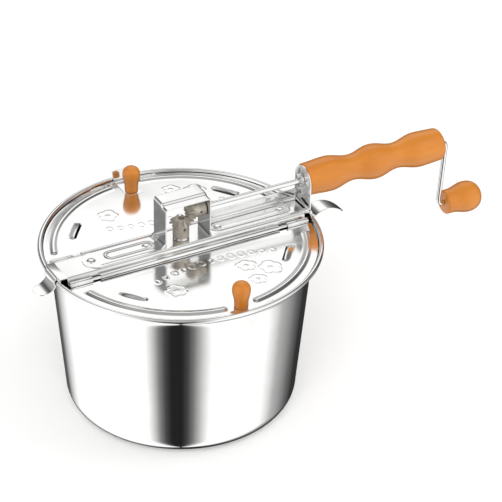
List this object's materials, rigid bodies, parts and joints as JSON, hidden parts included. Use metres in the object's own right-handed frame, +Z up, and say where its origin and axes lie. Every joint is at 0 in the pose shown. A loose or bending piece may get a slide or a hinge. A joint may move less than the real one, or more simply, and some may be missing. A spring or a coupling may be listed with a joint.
{
  "type": "popcorn maker",
  "caption": "Stovetop popcorn maker: tapered steel pot, clip-on lid with two hinged half flaps, and a wooden-handled crank turning a stirrer through bevel gears.",
  "frame": {"origin": "centre of the flat underside of the pot", "axes": "+Z up; +X along the wooden grip and the crank's axis; -Y towards the front flap"},
  "size_m": [0.469, 0.26, 0.2114],
  "materials": {
    "polished_steel": "mirror polished stainless steel with a fine turned grain",
    "sheet_steel": "bright rolled sheet",
    "lid_steel": "bright pressed sheet with soft reflections",
    "bright_steel": "plated",
    "dark_steel": "dark oiled pin",
    "cast_metal": "matt sintered metal, grey-tan",
    "honey_wood": "honey-orange stained and clear lacquered"
  },
  "bodies": {
    "pot": {"pot": "polished_steel"},
    "lid": {"bridge": "sheet_steel", "handle_bracket": "sheet_steel", "gear_housing": "sheet_steel", "bracket_rivets": "bright_steel", "front_hinge_pin": "bright_steel", "rear_hinge_pin": "bright_steel", "grip": "honey_wood", "grip_screws": "bright_steel", "shaft_bushing": "bright_steel"},
    "front_flap": {"front_flap": "lid_steel", "front_knob": "honey_wood", "front_knob_screw": "bright_steel"},
    "rear_flap": {"rear_flap": "lid_steel", "rear_knob": "honey_wood", "rear_knob_screw": "bright_steel", "rear_lift_tab": "sheet_steel"},
    "crank": {"crank_rod": "bright_steel", "drive_gear": "cast_metal", "drive_gear_pin": "dark_steel", "rod_retainer": "bright_steel"},
    "hand_knob": {"crank_knob": "honey_wood", "knob_retainer": "bright_steel"},
    "stirrer": {"stirrer_shaft": "bright_steel", "driven_gear": "cast_metal", "driven_gear_pin": "dark_steel", "shaft_collar": "bright_steel", "stirrer_wire": "bright_steel"},
    "left_clip": {"left_clip": "sheet_steel"},
    "right_clip": {"right_clip": "sheet_steel"}
  },
  "joints": [
    {"name": "lid_lift", "type": "slide", "parent": "pot", "child": "lid", "axis": [0, 0, 1], "range_m": [0, 0.17]},
    {"name": "front_flap_hinge", "type": "hinge", "parent": "lid", "child": "front_flap", "pos_m": [0, -0.02, 0.1635], "axis": [-1, 0, 0], "range_deg": [0, 80]},
    {"name": "rear_flap_hinge", "type": "hinge", "parent": "lid", "child": "rear_flap", "pos_m": [0, 0.02, 0.1635], "axis": [1, 0, 0], "range_deg": [0, 80]},
    {"name": "crank_spin", "type": "hinge", "parent": "lid", "child": "crank", "pos_m": [0, 0, 0.1946], "axis": [1, 0, 0], "continuous": true},
    {"name": "hand_knob_spin", "type": "hinge", "parent": "crank", "child": "hand_knob", "pos_m": [0.29, 0, 0.1266], "axis": [1, 0, 0], "continuous": true},
    {"name": "stirrer_spin", "type": "hinge", "parent": "lid", "child": "stirrer", "pos_m": [0, 0, 0.1], "axis": [0, 0, 1], "continuous": true},
    {"name": "left_clip_flex", "type": "hinge", "parent": "lid", "child": "left_clip", "pos_m": [-0.127, 0, 0.1667], "axis": [0, 1, 0], "range_deg": [0, 12], "stiffness_Nm_per_rad": 2},
    {"name": "right_clip_flex", "type": "hinge", "parent": "lid", "child": "right_clip", "pos_m": [0.127, 0, 0.1667], "axis": [0, -1, 0], "range_deg": [0, 12], "stiffness_Nm_per_rad": 2}
  ],
  "couplings": [
    {"joint": "stirrer_spin", "follows": "crank_spin", "ratio": 1}
  ]
}
